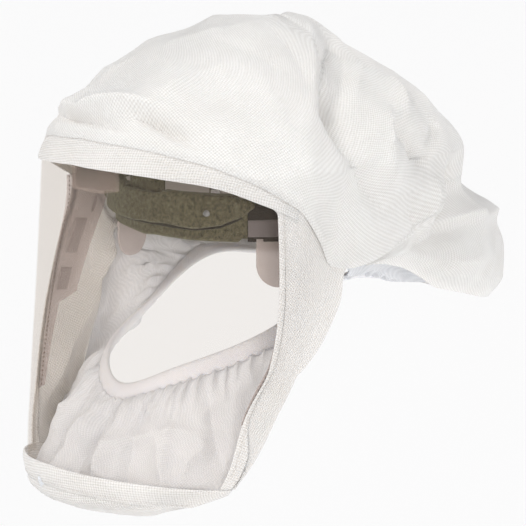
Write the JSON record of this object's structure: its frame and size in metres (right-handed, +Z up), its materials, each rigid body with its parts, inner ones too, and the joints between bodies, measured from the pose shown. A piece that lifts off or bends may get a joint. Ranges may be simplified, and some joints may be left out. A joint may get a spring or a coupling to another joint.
{
  "type": "powered air respirator hood",
  "caption": "White fabric respirator hood with clear curved visor, elastic neck seal, adjustable head suspension, overhead air duct and rear tube inlet.",
  "frame": {"origin": "centre of the headband opening, level with the lower third of the forehead pad", "axes": "+Z up along the wearer's head, the wearer faces -Y, +X is the wearer's left"},
  "size_m": [0.2296, 0.3695, 0.303],
  "materials": {
    "hood_fabric": "matte",
    "seal_fabric": "matte",
    "elastic": "matte",
    "visor_clear": "gloss",
    "stay_film": "satin",
    "band_plastic": "matte",
    "olive_felt": "matte",
    "rivet_metal": "satin",
    "hook_tape": "matte",
    "strap_webbing": "matte",
    "bracket_plastic": "satin",
    "tab_plastic": "satin",
    "outlet_plastic": "satin",
    "duct_film": "satin",
    "spacer_mesh": "matte",
    "inlet_plastic": "satin",
    "gasket_rubber": "matte"
  },
  "bodies": {
    "hood": {"crown_panel": "hood_fabric", "rear_skirt": "hood_fabric", "side_panel_left": "hood_fabric", "side_panel_right": "hood_fabric", "brow_band": "hood_fabric", "chin_band": "hood_fabric", "chin_panel": "hood_fabric", "visor_binding_left": "hood_fabric", "visor_binding_right": "hood_fabric", "visor": "visor_clear", "visor_stay_left": "stay_film", "visor_stay_right": "stay_film", "face_seal": "seal_fabric", "nape_seal": "seal_fabric", "neck_elastic": "elastic", "front_headband": "band_plastic", "comfort_pad": "olive_felt", "pad_rivets": "rivet_metal", "hook_patch_left": "hook_tape", "hook_patch_right": "hook_tape", "strap_anchor_left": "strap_webbing", "strap_anchor_right": "strap_webbing", "side_bracket_left": "bracket_plastic", "side_bracket_right": "bracket_plastic", "temple_tab_left": "tab_plastic", "temple_tab_right": "tab_plastic", "crown_keepers": "band_plastic", "air_outlet": "outlet_plastic", "outlet_louvres": "outlet_plastic", "air_duct": "duct_film", "duct_spacer": "spacer_mesh", "inlet_plenum": "inlet_plastic", "inlet_socket": "inlet_plastic", "inlet_gasket": "gasket_rubber", "inlet_clamp_ring": "inlet_plastic"},
    "rear_band": {"rear_headband": "strap_webbing", "rear_pad": "olive_felt", "strap_end_left": "hook_tape", "strap_end_right": "hook_tape"},
    "crown_harness": {"crown_strap": "strap_webbing", "cross_strap": "strap_webbing", "crown_pad": "olive_felt", "cross_pad_left": "olive_felt", "cross_pad_right": "olive_felt"}
  },
  "joints": [
    {"name": "headband_fit", "type": "slide", "parent": "hood", "child": "rear_band", "axis": [0, 1, 0], "range_m": [-0.008, 0.012]},
    {"name": "crown_height", "type": "slide", "parent": "hood", "child": "crown_harness", "axis": [0, 0, 1], "range_m": [-0.004, 0.012]}
  ]
}
